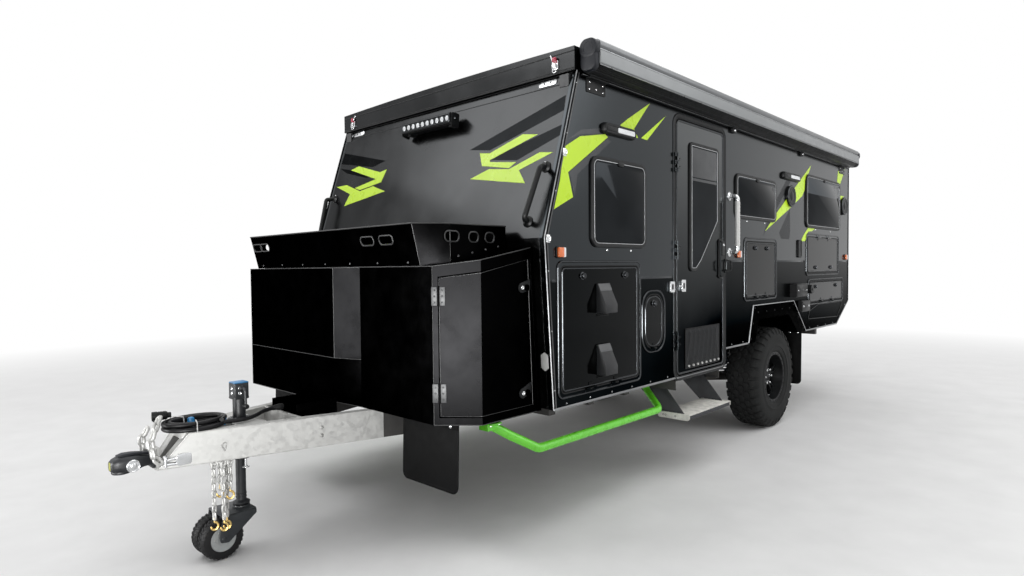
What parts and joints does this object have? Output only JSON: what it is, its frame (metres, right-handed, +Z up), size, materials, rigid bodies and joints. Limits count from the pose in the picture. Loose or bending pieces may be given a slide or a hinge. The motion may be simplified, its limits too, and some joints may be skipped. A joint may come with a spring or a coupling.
{
  "type": "pop-top caravan",
  "caption": "Off-road pop-top travel caravan with front tool box and tray, hinged doors and hatches, slide-out step, lifting roof, jockey wheel and roll-out awning.",
  "frame": {"origin": "middle of the footprint, on the ground", "axes": "+Y towards the tail, +X towards the entry door side, +Z up"},
  "size_m": [2.293, 6.874, 2.7103],
  "materials": {
    "dark_cladding": "gloss",
    "black_coat": "satin",
    "galvanised_steel": "matte",
    "chassis_black": "matte",
    "tyre_rubber": "matte",
    "tinted_acrylic": "gloss",
    "canvas": "matte",
    "green_coat": "gloss",
    "alloy": "satin",
    "black_plastic": "satin",
    "white_plastic": "satin",
    "solar_glass": "gloss",
    "lens": "gloss",
    "rubber": "matte",
    "composite": "gloss",
    "tank_plastic": "matte"
  },
  "bodies": {
    "caravan": {"chassis": "chassis_black", "low_outriggers": "chassis_black", "floor_bearers": "chassis_black", "arm_brackets": "chassis_black", "drawbar": "galvanised_steel", "coupling": "chassis_black", "jockey_post": "galvanised_steel", "drawbar_box": "black_coat", "drawbar_lead": "rubber", "drawbar_lead_coil": "rubber", "drawbar_plug": "black_plastic", "front_box": "black_coat", "front_tray": "black_coat", "floor": "composite", "left_wall": "dark_cladding", "right_wall": "dark_cladding", "front_wall": "dark_cladding", "rear_wall": "dark_cladding", "windows": "tinted_acrylic", "wheel_arches": "black_coat", "suspension_arms": "chassis_black", "side_rails": "green_coat", "step_housing": "chassis_black", "mudflaps": "rubber", "entry_grab_handle": "alloy", "front_grab_handles": "black_plastic", "light_bar": "black_plastic", "roof_latches": "alloy", "lamps": "lens", "wall_fittings": "black_plastic", "water_tanks": "tank_plastic", "spare_carrier": "chassis_black", "spare_wheel": "tyre_rubber"},
    "roof": {"roof": "composite", "roof_skirt": "canvas", "awning": "black_coat", "air_conditioner": "white_plastic", "solar_panels": "solar_glass"},
    "entry_door": {"entry_door": "dark_cladding", "entry_door_window": "tinted_acrylic", "door_pocket": "canvas"},
    "left_wheel": {"left_tyre": "tyre_rubber", "left_rim": "black_coat"},
    "right_wheel": {"right_tyre": "tyre_rubber", "right_rim": "black_coat"},
    "jockey_leg": {"jockey_leg": "galvanised_steel"},
    "jockey_fork": {"jockey_fork": "galvanised_steel"},
    "jockey_wheels": {"jockey_wheels": "rubber"},
    "left_box_door": {"left_box_door": "black_coat"},
    "right_box_door": {"right_box_door": "black_coat"},
    "entry_step": {"entry_step": "alloy"},
    "left_front_hatch": {"left_front_hatch": "black_coat"},
    "left_slim_hatch": {"left_slim_hatch": "black_coat"},
    "left_middle_hatch": {"left_middle_hatch": "black_coat"},
    "left_rear_hatch": {"left_rear_hatch": "black_coat"},
    "left_tail_hatch": {"left_tail_hatch": "black_coat"},
    "right_front_hatch": {"right_front_hatch": "black_coat"},
    "right_rear_hatch": {"right_rear_hatch": "black_coat"}
  },
  "joints": [
    {"name": "roof_lift", "type": "slide", "parent": "caravan", "child": "roof", "axis": [0, 0, 1], "range_m": [0, 0.42], "deforming": ["roof_skirt"]},
    {"name": "entry_door_hinge", "type": "hinge", "parent": "caravan", "child": "entry_door", "pos_m": [1.0475, -0.538, 1.47], "axis": [0, 0, 1], "range_deg": [-165, 0]},
    {"name": "left_front_hatch_hinge", "type": "hinge", "parent": "caravan", "child": "left_front_hatch", "pos_m": [1.0435, -1.347, 0.7245], "axis": [0, 1, 0], "range_deg": [0, 90]},
    {"name": "left_slim_hatch_hinge", "type": "hinge", "parent": "caravan", "child": "left_slim_hatch", "pos_m": [1.0435, -0.812, 0.8745], "axis": [0, 1, 0], "range_deg": [0, 90]},
    {"name": "left_middle_hatch_hinge", "type": "hinge", "parent": "caravan", "child": "left_middle_hatch", "pos_m": [1.0435, 0.814, 1.1235], "axis": [0, 1, 0], "range_deg": [0, 90]},
    {"name": "left_rear_hatch_hinge", "type": "hinge", "parent": "caravan", "child": "left_rear_hatch", "pos_m": [1.0435, 2.301, 1.6265], "axis": [0, -1, 0], "range_deg": [0, 85]},
    {"name": "left_tail_hatch_hinge", "type": "hinge", "parent": "caravan", "child": "left_tail_hatch", "pos_m": [1.0435, 2.4005, 1.0275], "axis": [0, 1, 0], "range_deg": [0, 90]},
    {"name": "right_front_hatch_hinge", "type": "hinge", "parent": "caravan", "child": "right_front_hatch", "pos_m": [-1.1405, -1.347, 0.7245], "axis": [0, -1, 0], "range_deg": [0, 90]},
    {"name": "right_rear_hatch_hinge", "type": "hinge", "parent": "caravan", "child": "right_rear_hatch", "pos_m": [-1.1405, 2.193, 1.3725], "axis": [0, 1, 0], "range_deg": [0, 85]},
    {"name": "left_box_door_hinge", "type": "hinge", "parent": "caravan", "child": "left_box_door", "pos_m": [0.80681, -2.3197, 1.015], "axis": [0, 0, -1], "range_deg": [0, 110]},
    {"name": "right_box_door_hinge", "type": "hinge", "parent": "caravan", "child": "right_box_door", "pos_m": [-1.0565, -2.1615, 1.015], "axis": [0, 0, 1], "range_deg": [0, 110]},
    {"name": "step_slide", "type": "slide", "parent": "caravan", "child": "entry_step", "axis": [1, 0, 0], "range_m": [0, 0.21]},
    {"name": "left_wheel_spin", "type": "hinge", "parent": "caravan", "child": "left_wheel", "pos_m": [0.8675, 1.218, 0.421], "axis": [1, 0, 0], "continuous": true},
    {"name": "right_wheel_spin", "type": "hinge", "parent": "caravan", "child": "right_wheel", "pos_m": [-0.9645, 1.218, 0.421], "axis": [1, 0, 0], "continuous": true},
    {"name": "jockey_wind", "type": "slide", "parent": "caravan", "child": "jockey_leg", "axis": [0, 0, 1], "range_m": [0, 0.2]},
    {"name": "jockey_swivel", "type": "hinge", "parent": "jockey_leg", "child": "jockey_fork", "pos_m": [-0.0485, -2.877, 0.222], "axis": [0, 0, 1], "continuous": true},
    {"name": "jockey_wheels_spin", "type": "hinge", "parent": "jockey_fork", "child": "jockey_wheels", "pos_m": [-0.0485, -2.995, 0.1], "axis": [1, 0, 0], "continuous": true}
  ]
}
